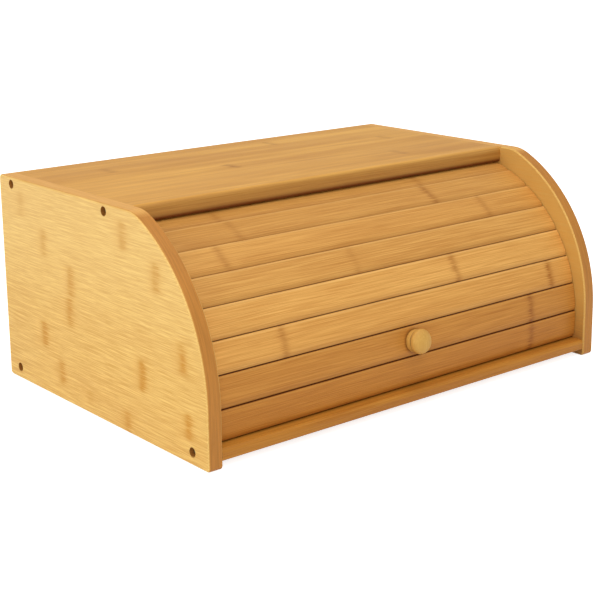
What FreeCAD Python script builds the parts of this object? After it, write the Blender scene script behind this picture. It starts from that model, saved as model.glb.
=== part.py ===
"""Bread box with a tambour (roll-top) door, all sizes in millimetres.

Frame: X runs left to right, Y front to back, Z up. The origin is on the surface
that the box stands on, under the middle of its outer box.

The case is two routed side panels screwed to a top board and a bottom board, with
a thin back panel held in grooves. The door is a row of slats glued to a cloth. The
tongues on the slats' ends run in a circular groove in each side panel, so the whole
door turns about the centre of that groove.
"""
import FreeCAD, Part
import math
import os

import Sketcher

Vector = FreeCAD.Vector

doc = FreeCAD.newDocument("BreadBox")
sheet = doc.addObject("Spreadsheet::Sheet", "Sizes")

# Driving dimensions: alias, value, what it is.
DRIVING = [
    ("width", 400.0, "outside width of the case"),
    ("depth", 280.0, "front to back of the side panels"),
    ("height", 167.0, "height of the case"),
    ("case_shift", 1.2, "how far the case's middle lies behind the origin"),
    ("side_thick", 12.0, "thickness of a side panel"),
    ("front_sweep", 134.5, "radius of the side panel's curved front"),
    ("front_knee", 42.0, "height where the straight front turns into the curve"),
    ("top_blend", 35.0, "radius that joins the curved front to the flat top"),
    ("corner_round", 3.0, "radius of the side panel's square corners"),
    ("edge_round", 1.8, "rounding along the side panels' outer edges"),
    ("inner_bevel", 1.0, "bevel along the side panels' inner edges"),
    ("board_thick", 15.0, "thickness of the top board"),
    ("nose_front", -41.0, "front edge of the top board"),
    ("nose_round", 5.0, "upper rounding of the top board's front edge"),
    ("nose_under", 5.0, "lower rounding of the top board's front edge"),
    ("sill_foot", 5.5, "height of the bottom board's underside"),
    ("sill_thick", 8.5, "thickness of the bottom board"),
    ("sill_front", -139.2, "front edge of the bottom board"),
    ("sill_round", 3.0, "upper rounding of the bottom board's front edge"),
    ("sill_under", 1.5, "lower rounding of the bottom board's front edge"),
    ("back_inset", 4.0, "how far the back panel lies in from the case's back"),
    ("back_thick", 6.0, "thickness of the back panel"),
    ("back_bite", 3.5, "depth of the grooves that hold the back panel"),
    ("back_play", 0.15, "play of the back panel in its grooves"),
    ("track_back", -5.8, "centre of the door's track, front to back"),
    ("track_up", 32.5, "centre of the door's track, height"),
    ("door_radius", 124.8, "track centre to the crown of a slat"),
    ("slat_thick", 7.5, "thickness of a slat"),
    ("slat_pitch", 10.9, "angle from one slat to the next, degrees"),
    ("slat_count", 9.0, "slats in the door"),
    ("door_foot", -8.3, "angle of the closed door's lower edge, degrees"),
    ("slat_crown", 0.6, "rise of a slat's crowned face"),
    ("slat_edge", 0.6, "rounding of a slat's crisp upper edge"),
    ("roll_width", 5.0, "width of a slat's rolled lower edge"),
    ("roll_radius", 11.0, "radius of a slat's rolled lower edge"),
    ("slat_gap_in", 0.12, "half the gap between slats, at the cloth"),
    ("slat_gap_out", 0.3, "half the gap between slats, at the face"),
    ("tongue_thick", 4.2, "thickness of the tongue on a slat's end"),
    ("tongue_length", 5.0, "length of the tongue"),
    ("shoulder_gap", 0.5, "slat shoulder to side panel"),
    ("groove_play", 0.5, "play of the tongues in the groove, each way"),
    ("door_travel", 60.0, "how far the door turns, degrees"),
    ("cove_gap", 1.6, "slats to the cove under the top board"),
    ("cloth_thick", 0.8, "thickness of the cloth"),
    ("cloth_width", 340.0, "width of the cloth"),
    ("knob_reach", 13.0, "how far the knob stands off its slat"),
    ("knob_slat", 2.0, "the slat that carries the knob, from the bottom"),
    ("knob_foot", 16.8, "diameter of the knob's foot"),
    ("knob_waist", 18.0, "diameter at the crease round the knob"),
    ("knob_crease", 7.2, "height of the crease"),
    ("knob_face", 19.2, "diameter of the knob's domed front"),
    ("knob_lip", 7.8, "height where the crease reaches the front's full width"),
    ("knob_rim", 8.7, "height where the dome begins"),
    ("knob_belly", 19.2, "diameter of the bulge between foot and crease"),
    ("belly_up", 3.8, "height of the bulge"),
    ("dome_shoulder", 15.0, "diameter where the dome's slope eases"),
    ("shoulder_up", 11.3, "height of that shoulder"),
    ("dome_flat", 6.0, "diameter of the flat at the middle of the dome"),
    ("knob_pilot", 3.1, "screw hole in the knob"),
    ("knob_bore", 9.5, "depth of the knob's screw hole"),
    ("pin_hole", 3.4, "knob screw's hole through slat and cloth"),
    ("pin_shank", 3.0, "diameter of the knob screw's shank"),
    ("pin_length", 16.0, "length of the knob screw under its head"),
    ("pin_head", 6.6, "diameter of the knob screw's head"),
    ("pin_height", 2.2, "height of the knob screw's head"),
    ("screw_shank", 3.2, "diameter of a case screw's shank"),
    ("screw_length", 30.0, "length of a case screw under its head"),
    ("screw_head", 6.4, "diameter of a case screw's head"),
    ("head_height", 2.4, "height of a case screw's head"),
    ("sink_width", 7.2, "diameter of the sinkings for the screw heads"),
    ("sink_depth", 6.0, "depth of the sinkings"),
    ("side_hole", 3.9, "screw hole through a side panel"),
    ("board_pilot", 3.3, "screw hole in a board's end"),
    ("top_front_hole", -18.0, "front screw of the top board"),
    ("top_back_hole", 120.0, "back screw of the top board"),
    ("top_hole_up", 161.3, "height of the top board's screws"),
    ("low_front_hole", -121.0, "front screw of the bottom board"),
    ("low_back_hole", 122.0, "back screw of the bottom board"),
]
size = {alias: value for alias, value, _ in DRIVING}


def derive(alias, value, note):
    """Adds a size that is worked out from the driving dimensions."""
    size[alias] = value
    DRIVING.append((alias, round(value, 6), note))


half_pitch = math.radians(size["slat_pitch"] / 2)
derive("inner_width", size["width"] - 2 * size["side_thick"], "between the side panels")
derive("inner_half", size["inner_width"] / 2, "middle to a side panel's inner face")
derive("half_width", size["width"] / 2, "middle to a side panel's outer face")
derive("front", -size["depth"] / 2, "front of the side panels")
derive("back", size["depth"] / 2, "back of the case")
derive("board_under", size["height"] - size["board_thick"], "underside of the top board")
derive("sill_top", size["sill_foot"] + size["sill_thick"], "top of the bottom board")
derive("low_hole_up", size["sill_foot"] + size["sill_thick"] / 2, "height of the low screws")
derive("slat_inner", size["door_radius"] - size["slat_thick"], "track centre to the cloth side")
derive("tongue_top", size["slat_inner"] + size["tongue_thick"], "track centre to a tongue's face")
derive("slat_half_in", size["slat_inner"] * math.tan(half_pitch) - size["slat_gap_in"],
       "half a slat's width at the cloth")
derive("slat_half_out", size["door_radius"] * math.tan(half_pitch) - size["slat_gap_out"],
       "half a slat's width at the face")
derive("slat_rim", size["door_radius"] - size["slat_crown"], "track centre to a slat's edge")
derive("crown_radius", (size["slat_half_out"] ** 2 + size["slat_crown"] ** 2)
       / (2 * size["slat_crown"]), "radius of a slat's crowned face")
derive("roll_start", size["slat_half_out"] - size["roll_width"], "middle of a slat to its rolled edge")
derive("slat_body", size["inner_width"] - 2 * size["shoulder_gap"], "slat between shoulders")
derive("slat_length", size["slat_body"] + 2 * size["tongue_length"], "slat with its tongues")
derive("groove_in", size["slat_inner"] - size["groove_play"], "inner radius of the groove")
derive("groove_out", math.hypot(size["tongue_top"], size["slat_half_out"]) + size["groove_play"],
       "outer radius of the groove")
derive("groove_depth", size["tongue_length"], "depth of the groove")
derive("groove_start", size["door_foot"] - 0.8, "angle where the groove begins, degrees")
derive("groove_end", size["door_foot"] + size["slat_count"] * size["slat_pitch"]
       + size["door_travel"] + 1.5, "angle where the groove ends, degrees")
derive("cove_radius", size["door_radius"] + size["cove_gap"], "radius of the cove")
derive("knob_angle", size["door_foot"] + (size["knob_slat"] - 0.5) * size["slat_pitch"],
       "angle of the knob, degrees")

for row, (alias, value, note) in enumerate(DRIVING, start=1):
    sheet.set(f"A{row}", note)
    sheet.set(f"B{row}", str(value))
    sheet.setAlias(f"B{row}", alias)
doc.recompute()


# ---------------------------------------------------------------- helpers
def new_body(label):
    body = doc.addObject("PartDesign::Body", label)
    body.Label = label
    body.setExpression("Placement.Base.y", "Sizes.case_shift")
    return body


def new_sketch(body, name, role="YZ_Plane", lift=None):
    """A sketch on an origin plane of its body, lifted off it by an expression."""
    sketch = body.newObject("Sketcher::SketchObject", name)
    plane = next(item for item in body.Origin.OriginFeatures if item.Role == role)
    sketch.AttachmentSupport = [(plane, "")]
    sketch.MapMode = "FlatFace"
    if lift:
        sketch.setExpression(".AttachmentOffset.Base.z", lift)
    return sketch


def draw(sketch, pieces, sharp=None):
    """Adds a closed chain of lines and arcs and joins each to the next.

    A line is (start, end). An arc is (centre, radius, start angle, end angle) with
    the angles in degrees and counter-clockwise, and a fifth item True when the chain
    runs along it backwards. sharp lists the pieces that end in a corner, and the
    other joints are tangent; without it every joint is a corner.
    """
    ends = []
    for piece in pieces:
        if len(piece) == 2:
            start, end = (Vector(p[0], p[1], 0) for p in piece)
            index = sketch.addGeometry(Part.LineSegment(start, end))
            ends.append((index, 1, 2))
        else:
            centre, radius, first, last = piece[:4]
            circle = Part.Circle(Vector(centre[0], centre[1], 0), Vector(0, 0, 1), radius)
            arc = Part.ArcOfCircle(circle, math.radians(first), math.radians(last))
            index = sketch.addGeometry(arc)
            backwards = len(piece) > 4 and piece[4]
            ends.append((index, 2, 1) if backwards else (index, 1, 2))
    for place, (index, _, tail) in enumerate(ends):
        after, head, _ = ends[(place + 1) % len(ends)]
        kind = "Coincident" if sharp is None or place in sharp else "Tangent"
        sketch.addConstraint(Sketcher.Constraint(kind, index, tail, after, head))
    return [index for index, _, _ in ends]


def drive(sketch, kind, where, expression):
    """Binds a dimension of the sketch to the sheet, starting from its drawn value."""
    if kind == "Radius":
        value = sketch.Geometry[where[0]].Radius
    else:
        first, last = (sketch.getPoint(*where[i:i + 2]) for i in (0, 2))
        value = last.x - first.x if kind == "DistanceX" else last.y - first.y
    if value < 0 and kind != "Radius":
        where = where[2:] + where[:2]
        value = -value
        expression = f"-({expression})"
    index = sketch.addConstraint(Sketcher.Constraint(kind, *where, value))
    sketch.setExpression(f"Constraints[{index}]", expression)


def at_point(sketch, geometry, point, across, up):
    """Holds a point of the sketch at a place given by two expressions."""
    for kind, expression in (("DistanceX", across), ("DistanceY", up)):
        if expression:
            drive(sketch, kind, (-1, 1, geometry, point), expression)


def level(sketch, *lines):
    for line in lines:
        sketch.addConstraint(Sketcher.Constraint("Horizontal", line))


def upright(sketch, *lines):
    for line in lines:
        sketch.addConstraint(Sketcher.Constraint("Vertical", line))


def box_in(sketch, left, right, low, high):
    """A rectangle whose four sides are (value, expression) pairs."""
    corners = [(left[0], low[0]), (right[0], low[0]), (right[0], high[0]), (left[0], high[0])]
    lines = draw(sketch, list(zip(corners, corners[1:] + corners[:1])))
    level(sketch, lines[0], lines[2])
    upright(sketch, lines[1], lines[3])
    at_point(sketch, lines[0], 1, left[1], low[1])
    at_point(sketch, lines[2], 1, right[1], high[1])


def ring_at(sketch, centre, radius, across, up, expression):
    circle = Part.Circle(Vector(centre[0], centre[1], 0), Vector(0, 0, 1), radius)
    index = sketch.addGeometry(circle)
    drive(sketch, "Radius", (index,), expression)
    at_point(sketch, index, 3, across, up)


def extrude(body, kind, name, sketch, length=None, both=False, reverse=False):
    """A Pad or a Pocket; without a length a Pocket goes through everything."""
    feature = body.newObject(f"PartDesign::{kind}", name)
    feature.Profile = sketch
    if length:
        feature.setExpression("Length", length)
    else:
        feature.Type = "ThroughAll"
    feature.SideType = "Symmetric" if both else "One side"
    feature.Reversed = reverse
    sketch.Visibility = False
    return feature


def cut_and_check(body, before):
    """A pocket that points away from the solid cuts nothing, so the volume must fall."""
    doc.recompute()
    after = body.Shape.Volume
    if after > before - 0.5:
        raise RuntimeError(f"{body.Label}: the last cut took nothing away")
    return after


def edges_where(shape, wanted):
    return [f"Edge{number}" for number, edge in enumerate(shape.Edges, start=1) if wanted(edge)]


def ease_edges(body, kind, name, wanted, expression):
    """A Fillet or a Chamfer on the edges of the body's tip that are wanted."""
    doc.recompute()
    base = body.Tip
    names = edges_where(base.Shape, wanted)
    if not names:
        raise RuntimeError(f"{body.Label}: no edge found for {name}")
    feature = body.newObject(f"PartDesign::{kind}", name)
    feature.Base = (base, names)
    feature.setExpression("Radius" if kind == "Fillet" else "Size", expression)
    doc.recompute()


def lies_at(edge, axis, value):
    low, high = getattr(edge.BoundBox, f"{axis}Min"), getattr(edge.BoundBox, f"{axis}Max")
    return abs(low - value) < 0.01 and abs(high - value) < 0.01


def polar(radius, angle):
    """A point in the side view, at an angle that is 0 at the front and 90 at the top."""
    turn = math.radians(angle)
    return (-radius * math.cos(turn), radius * math.sin(turn))


def track_point(radius, angle):
    across, up = polar(radius, angle)
    return (size["track_back"] + across, size["track_up"] + up)


def arc_between(start, end, radius):
    """The shorter counter-clockwise arc between two points, as a piece for draw()."""
    first, last = (Vector(p[0], p[1], 0) for p in (start, end))
    chord = last - first
    inward = Vector(-chord.y, chord.x, 0).normalize()
    centre = (first + last) / 2 + inward * math.sqrt(radius ** 2 - (chord.Length / 2) ** 2)
    begin, finish = (math.degrees(math.atan2(p.y - centre.y, p.x - centre.x)) for p in (first, last))
    return ((centre.x, centre.y), radius, begin, finish)


# ---------------------------------------------------------------- side panels
def panel_outline(sketch):
    """A square back and a front that sweeps up into the flat top, every joint tangent."""
    front, back, height = size["front"], size["back"], size["height"]
    corner, sweep, blend, knee = (size[key] for key in
                                  ("corner_round", "front_sweep", "top_blend", "front_knee"))
    rise = height - blend - knee
    blend_at = front + sweep - math.sqrt((sweep - blend) ** 2 - rise ** 2)
    join = 180 - math.degrees(math.asin(rise / (sweep - blend)))
    around = (sweep * math.cos(math.radians(join)), sweep * math.sin(math.radians(join)))
    parts = draw(sketch, [
        ((front + corner, 0), (back - corner, 0)),
        ((back - corner, corner), corner, 270, 360),
        ((back, corner), (back, height - corner)),
        ((back - corner, height - corner), corner, 0, 90),
        ((back - corner, height), (blend_at, height)),
        ((blend_at, height - blend), blend, 90, join),
        ((front + sweep, knee), sweep, join, 180),
        ((front, knee), (front, corner)),
        ((front + corner, corner), corner, 180, 270),
    ], sharp=())
    base, low_back, rear, high_back, top, blend_arc, sweep_arc, face, foot = parts
    level(sketch, base, top)
    upright(sketch, rear, face)
    for arc, radius in ((low_back, "corner_round"), (high_back, "corner_round"),
                        (blend_arc, "top_blend"), (sweep_arc, "front_sweep"), (foot, "corner_round")):
        drive(sketch, "Radius", (arc,), f"Sizes.{radius}")
    sketch.addConstraint(Sketcher.Constraint("PointOnObject", base, 1, -1))
    at_point(sketch, rear, 1, "Sizes.back", None)
    at_point(sketch, face, 1, "Sizes.front", None)
    at_point(sketch, top, 1, None, "Sizes.height")
    at_point(sketch, sweep_arc, 3, None, "Sizes.front_knee")


def track_groove(sketch):
    """A ring sector about the track's centre that the slats' tongues run in."""
    first, last = 180 - size["groove_end"], 180 - size["groove_start"]
    centre = (size["track_back"], size["track_up"])
    inner, outer = size["groove_in"], size["groove_out"]
    ends = [(track_point(inner, angle), track_point(outer, angle))
            for angle in (size["groove_start"], size["groove_end"])]
    outer_arc, low_end, inner_arc, high_end = draw(sketch, [
        (centre, outer, first, last),
        (ends[0][1], ends[0][0]),
        (centre, inner, first, last, True),
        ends[1],
    ])
    drive(sketch, "Radius", (outer_arc,), "Sizes.groove_out")
    drive(sketch, "Radius", (inner_arc,), "Sizes.groove_in")
    at_point(sketch, outer_arc, 3, "Sizes.track_back", "Sizes.track_up")
    sketch.addConstraint(Sketcher.Constraint("Coincident", outer_arc, 3, inner_arc, 3))
    for line in (low_end, high_end):
        sketch.addConstraint(Sketcher.Constraint("PointOnObject", outer_arc, 3, line))
    for line, point, angle in ((low_end, 2, "groove_start"), (high_end, 1, "groove_end")):
        at_point(sketch, line, point, None, f"Sizes.track_up + Sizes.groove_in * sin(Sizes.{angle})")


SCREW_PLACES = [("top_front_hole", "top_hole_up"), ("top_back_hole", "top_hole_up"),
                ("low_front_hole", "low_hole_up"), ("low_back_hole", "low_hole_up")]


def screw_rings(sketch, places, diameter):
    for across, up in places:
        ring_at(sketch, (size[across], size[up]), size[diameter] / 2,
                f"Sizes.{across}", f"Sizes.{up}", f"Sizes.{diameter} / 2")


def back_slot(sketch, low, high):
    """The side view of the slot that holds the back panel, between two heights."""
    near = size["back"] - size["back_inset"] - size["back_thick"] - size["back_play"]
    far = size["back"] - size["back_inset"] + size["back_play"]
    box_in(sketch,
           (near, "Sizes.back - Sizes.back_inset - Sizes.back_thick - Sizes.back_play"),
           (far, "Sizes.back - Sizes.back_inset + Sizes.back_play"), low, high)


def side_panel(label, side):
    """side is 1 for the right panel and -1 for the left one, its mirror image."""
    body = new_body(label)
    sign = "" if side > 0 else "-"
    inner_face, outer_face = f"{sign}Sizes.inner_half", f"{sign}Sizes.half_width"

    outline = new_sketch(body, f"{label}_outline", lift=inner_face)
    panel_outline(outline)
    extrude(body, "Pad", f"{label}_board", outline, "Sizes.side_thick", reverse=side < 0)
    doc.recompute()
    ease_edges(body, "Fillet", f"{label}_outer_edges",
               lambda edge: lies_at(edge, "X", side * size["half_width"]), "Sizes.edge_round")
    ease_edges(body, "Chamfer", f"{label}_inner_edges",
               lambda edge: lies_at(edge, "X", side * size["inner_half"]), "Sizes.inner_bevel")

    # The inner edge stays square where the top board meets it.
    square = new_sketch(body, f"{label}_square_edge", lift=inner_face)
    box_in(square, (size["nose_front"], "Sizes.nose_front"),
           (size["back"] - size["corner_round"], "Sizes.back - Sizes.corner_round"),
           (size["board_under"], "Sizes.board_under"), (size["height"], "Sizes.height"))
    extrude(body, "Pad", f"{label}_square", square, "2 * Sizes.inner_bevel", reverse=side < 0)
    doc.recompute()
    volume = body.Shape.Volume

    track = new_sketch(body, f"{label}_track", lift=inner_face)
    track_groove(track)
    extrude(body, "Pocket", f"{label}_groove", track, "Sizes.groove_depth", reverse=side > 0)
    volume = cut_and_check(body, volume)

    slot = new_sketch(body, f"{label}_back_slot", lift=inner_face)
    back_slot(slot, (size["sill_top"] - size["back_bite"], "Sizes.sill_top - Sizes.back_bite"),
              (size["board_under"] + size["back_bite"], "Sizes.board_under + Sizes.back_bite"))
    extrude(body, "Pocket", f"{label}_slot", slot, "Sizes.back_bite", reverse=side > 0)
    volume = cut_and_check(body, volume)

    rings = new_sketch(body, f"{label}_screw_places", lift=outer_face)
    screw_rings(rings, SCREW_PLACES, "sink_width")
    doc.recompute()
    hole = body.newObject("PartDesign::Hole", f"{label}_screw_holes")
    hole.Profile = rings
    hole.Reversed = side < 0
    doc.recompute()
    hole.Threaded = False
    hole.DepthType = "ThroughAll"
    hole.HoleCutType = "Counterbore"
    hole.HoleCutCustomValues = True
    hole.setExpression("Diameter", "Sizes.side_hole")
    hole.setExpression("HoleCutDiameter", "Sizes.sink_width")
    hole.setExpression("HoleCutDepth", "Sizes.sink_depth")
    rings.Visibility = False
    cut_and_check(body, volume)
    return body


# ---------------------------------------------------------------- boards
def pilot_holes(body, places):
    """Blind screw holes in both ends of a board that runs between the side panels."""
    volume = body.Shape.Volume
    for end, lift in (("left", "-Sizes.inner_half"), ("right", "Sizes.inner_half")):
        rings = new_sketch(body, f"{body.Label}_{end}_pilots", lift=lift)
        screw_rings(rings, places, "board_pilot")
        extrude(body, "Pocket", f"{body.Label}_{end}_holes", rings,
                "Sizes.screw_length - Sizes.side_thick + Sizes.sink_depth + 1", reverse=end == "left")
        volume = cut_and_check(body, volume)


def top_board():
    """Flush with the side panels, with a rounded nose and a cove that clears the door."""
    body = new_body("top_board")
    back, under, height, nose = (size[key] for key in ("back", "board_under", "height", "nose_front"))
    corner, upper, lower = (size[key] for key in ("corner_round", "nose_round", "nose_under"))
    section = new_sketch(body, "top_board_section")
    rear, corner_arc, top, nose_arc, face, under_arc, base = draw(section, [
        ((back, under), (back, height - corner)),
        ((back - corner, height - corner), corner, 0, 90),
        ((back - corner, height), (nose + upper, height)),
        ((nose + upper, height - upper), upper, 90, 180),
        ((nose, height - upper), (nose, under + lower)),
        ((nose + lower, under + lower), lower, 180, 270),
        ((nose + lower, under), (back, under)),
    ], sharp=(6,))
    level(section, top, base)
    upright(section, rear, face)
    for arc, radius in ((corner_arc, "corner_round"), (nose_arc, "nose_round"), (under_arc, "nose_under")):
        drive(section, "Radius", (arc,), f"Sizes.{radius}")
    at_point(section, rear, 1, "Sizes.back", "Sizes.board_under")
    at_point(section, top, 1, None, "Sizes.height")
    at_point(section, face, 1, "Sizes.nose_front", None)
    extrude(body, "Pad", "top_board_blank", section, "Sizes.inner_width", both=True)
    doc.recompute()
    volume = body.Shape.Volume

    cove = new_sketch(body, "top_board_cove")
    ring_at(cove, (size["track_back"], size["track_up"]), size["cove_radius"],
            "Sizes.track_back", "Sizes.track_up", "Sizes.cove_radius")
    extrude(body, "Pocket", "top_board_hollow", cove, both=True)
    volume = cut_and_check(body, volume)

    slot = new_sketch(body, "top_board_back_slot")
    back_slot(slot, (under - 1, "Sizes.board_under - 1"),
              (under + size["back_bite"], "Sizes.board_under + Sizes.back_bite"))
    extrude(body, "Pocket", "top_board_slot", slot, both=True)
    cut_and_check(body, volume)
    pilot_holes(body, SCREW_PLACES[:2])
    return body


def bottom_board():
    """The floor of the box; its rounded front edge is the sill that the door closes on."""
    body = new_body("bottom_board")
    front, back, foot, top = (size[key] for key in ("sill_front", "back", "sill_foot", "sill_top"))
    upper, lower = size["sill_round"], size["sill_under"]
    section = new_sketch(body, "bottom_board_section")
    base, rear, floor, upper_arc, face, lower_arc = draw(section, [
        ((front + lower, foot), (back, foot)),
        ((back, foot), (back, top)),
        ((back, top), (front + upper, top)),
        ((front + upper, top - upper), upper, 90, 180),
        ((front, top - upper), (front, foot + lower)),
        ((front + lower, foot + lower), lower, 180, 270),
    ], sharp=(0, 1))
    level(section, base, floor)
    upright(section, rear, face)
    drive(section, "Radius", (upper_arc,), "Sizes.sill_round")
    drive(section, "Radius", (lower_arc,), "Sizes.sill_under")
    at_point(section, rear, 1, "Sizes.back", "Sizes.sill_foot")
    at_point(section, floor, 1, None, "Sizes.sill_top")
    at_point(section, face, 1, "Sizes.sill_front", None)
    extrude(body, "Pad", "bottom_board_blank", section, "Sizes.inner_width", both=True)
    doc.recompute()
    volume = body.Shape.Volume

    slot = new_sketch(body, "bottom_board_back_slot")
    back_slot(slot, (top - size["back_bite"], "Sizes.sill_top - Sizes.back_bite"),
              (top + 1, "Sizes.sill_top + 1"))
    extrude(body, "Pocket", "bottom_board_slot", slot, both=True)
    cut_and_check(body, volume)
    pilot_holes(body, SCREW_PLACES[2:])
    return body


def back_panel():
    """A plain thin panel, let into grooves in the four boards round it."""
    panel = doc.addObject("Part::Box", "back_panel")
    panel.Label = "back_panel"
    for name, expression in (
            ("Length", "Sizes.inner_width + 2 * (Sizes.back_bite - Sizes.back_play)"),
            ("Width", "Sizes.back_thick"),
            ("Height", "Sizes.board_under - Sizes.sill_top + 2 * (Sizes.back_bite - Sizes.back_play)"),
            ("Placement.Base.x", "-Sizes.inner_half - Sizes.back_bite + Sizes.back_play"),
            ("Placement.Base.y", "Sizes.back - Sizes.back_inset - Sizes.back_thick + Sizes.case_shift"),
            ("Placement.Base.z", "Sizes.sill_top - Sizes.back_bite + Sizes.back_play")):
        panel.setExpression(name, expression)
    return panel


# ---------------------------------------------------------------- door
def place_on_track(body, radius, angle, inward=False):
    """Turns a body's own Z axis to point away from the track's centre, or towards it."""
    body.Placement.Rotation = FreeCAD.Rotation(Vector(1, 0, 0), 1)
    body.setExpression("Placement.Rotation.Angle", f"{270 if inward else 90} - ({angle})")
    body.setExpression("Placement.Base.y",
                       f"Sizes.track_back + Sizes.case_shift - {radius} * cos({angle})")
    body.setExpression("Placement.Base.z", f"Sizes.track_up + {radius} * sin({angle})")


def slat_section(body, name):
    """A slat's end view: a crowned face with a crisp upper edge and a rolled lower one."""
    section = new_sketch(body, name)
    inner, rim, low, high, bend = (size[key] for key in (
        "slat_inner", "slat_rim", "slat_half_in", "slat_half_out", "roll_start"))
    crown_radius, roll_radius = size["crown_radius"], size["roll_radius"]
    lean = math.asin(bend / crown_radius)
    bend_up = size["door_radius"] - crown_radius * (1 - math.cos(lean))
    roll_across = -bend + roll_radius * math.sin(lean)
    roll_up = bend_up - roll_radius * math.cos(lean)
    lip = roll_up + math.sqrt(roll_radius ** 2 - (high + roll_across) ** 2)
    foot, right, crown, roll, _ = draw(section, [
        ((-low, inner), (low, inner)),
        ((low, inner), (high, rim)),
        arc_between((high, rim), (-bend, bend_up), crown_radius),
        arc_between((-bend, bend_up), (-high, lip), roll_radius),
        ((-high, lip), (-low, inner)),
    ], sharp=(0, 1, 3, 4))
    section.addConstraint(Sketcher.Constraint("Symmetric", foot, 1, foot, 2, -2))
    section.addConstraint(Sketcher.Constraint("PointOnObject", crown, 3, -2))
    at_point(section, right, 1, "Sizes.slat_half_in", "Sizes.slat_inner")
    at_point(section, right, 2, "Sizes.slat_half_out", "Sizes.slat_rim")
    at_point(section, crown, 2, "-Sizes.roll_start", None)
    at_point(section, roll, 2, "-Sizes.slat_half_out", None)
    drive(section, "Radius", (crown,), "Sizes.crown_radius")
    drive(section, "Radius", (roll,), "Sizes.roll_radius")
    return section


def slat(number):
    """A slat with a tongue on each end, drawn upright over the track's centre."""
    label = f"slat_{number}"
    body = new_body(label)
    section = slat_section(body, f"{label}_section")
    extrude(body, "Pad", f"{label}_strip", section, "Sizes.slat_length", both=True)
    ease_edges(body, "Fillet", f"{label}_edge", lambda edge: lies_at(edge, "Z", size["slat_rim"])
               and edge.BoundBox.XLength > size["slat_body"], "Sizes.slat_edge")
    volume = body.Shape.Volume

    tongues = new_sketch(body, f"{label}_tongues", role="XZ_Plane")
    shoulder, end = size["slat_body"] / 2, size["slat_length"] / 2 + 1
    heights = ((size["tongue_top"], "Sizes.tongue_top"),
               (size["door_radius"] + 1, "Sizes.door_radius + 1"))
    box_in(tongues, (shoulder, "Sizes.slat_body / 2"), (end, "Sizes.slat_length / 2 + 1"), *heights)
    box_in(tongues, (-end, "-Sizes.slat_length / 2 - 1"), (-shoulder, "-Sizes.slat_body / 2"), *heights)
    extrude(body, "Pocket", f"{label}_rabbets", tongues, both=True)
    volume = cut_and_check(body, volume)

    if number == size["knob_slat"]:
        ring = new_sketch(body, f"{label}_knob_ring", role="XY_Plane")
        centred_ring(ring, "pin_hole")
        extrude(body, "Pocket", f"{label}_knob_hole", ring, both=True)
        cut_and_check(body, volume)
    place_on_track(body, 0, f"Sizes.door_foot + {number - 0.5} * Sizes.slat_pitch")
    return body


def centred_ring(sketch, diameter):
    """A circle about the sketch's origin."""
    circle = Part.Circle(Vector(0, 0, 0), Vector(0, 0, 1), size[diameter] / 2)
    index = sketch.addGeometry(circle)
    sketch.addConstraint(Sketcher.Constraint("Coincident", index, 3, -1, 1))
    drive(sketch, "Radius", (index,), f"Sizes.{diameter} / 2")


def backing_cloth():
    """The cloth that the slats are glued to, creased along every joint between them."""
    body = new_body("backing_cloth")
    outer, inner = size["slat_inner"], size["slat_inner"] - size["cloth_thick"]
    wide, narrow = outer * math.tan(half_pitch), inner * math.tan(half_pitch)
    section = new_sketch(body, "backing_cloth_section")
    base, right, top, left = draw(section, [
        ((-narrow, inner), (narrow, inner)),
        ((narrow, inner), (wide, outer)),
        ((wide, outer), (-wide, outer)),
        ((-wide, outer), (-narrow, inner)),
    ])
    for line in (base, top):
        section.addConstraint(Sketcher.Constraint("Symmetric", line, 1, line, 2, -2))
    inside = "(Sizes.slat_inner - Sizes.cloth_thick)"
    at_point(section, right, 1, f"{inside} * tan(Sizes.slat_pitch / 2)", inside)
    at_point(section, right, 2, "Sizes.slat_inner * tan(Sizes.slat_pitch / 2)", "Sizes.slat_inner")
    strip = extrude(body, "Pad", "backing_cloth_strip", section, "Sizes.cloth_width", both=True)
    doc.recompute()

    across = next(item for item in body.Origin.OriginFeatures if item.Role == "X_Axis")
    pattern = body.newObject("PartDesign::PolarPattern", "backing_cloth_creases")
    pattern.Originals = [strip]
    pattern.Axis = (across, [""])
    pattern.Reversed = True
    pattern.setExpression("Angle", "Sizes.slat_pitch * (Sizes.slat_count - 1)")
    pattern.setExpression("Occurrences", "Sizes.slat_count")
    body.Tip = pattern
    doc.recompute()
    volume = body.Shape.Volume

    ring = new_sketch(body, "backing_cloth_ring", role="XY_Plane")
    centred_ring(ring, "pin_hole")
    ring.AttachmentOffset.Rotation = FreeCAD.Rotation(Vector(1, 0, 0), -1)
    ring.setExpression(".AttachmentOffset.Rotation.Angle",
                       "(1 - Sizes.knob_slat) * Sizes.slat_pitch")
    extrude(body, "Pocket", "backing_cloth_hole", ring, both=True)
    cut_and_check(body, volume)
    place_on_track(body, 0, "Sizes.door_foot + 0.5 * Sizes.slat_pitch")
    return body


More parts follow.
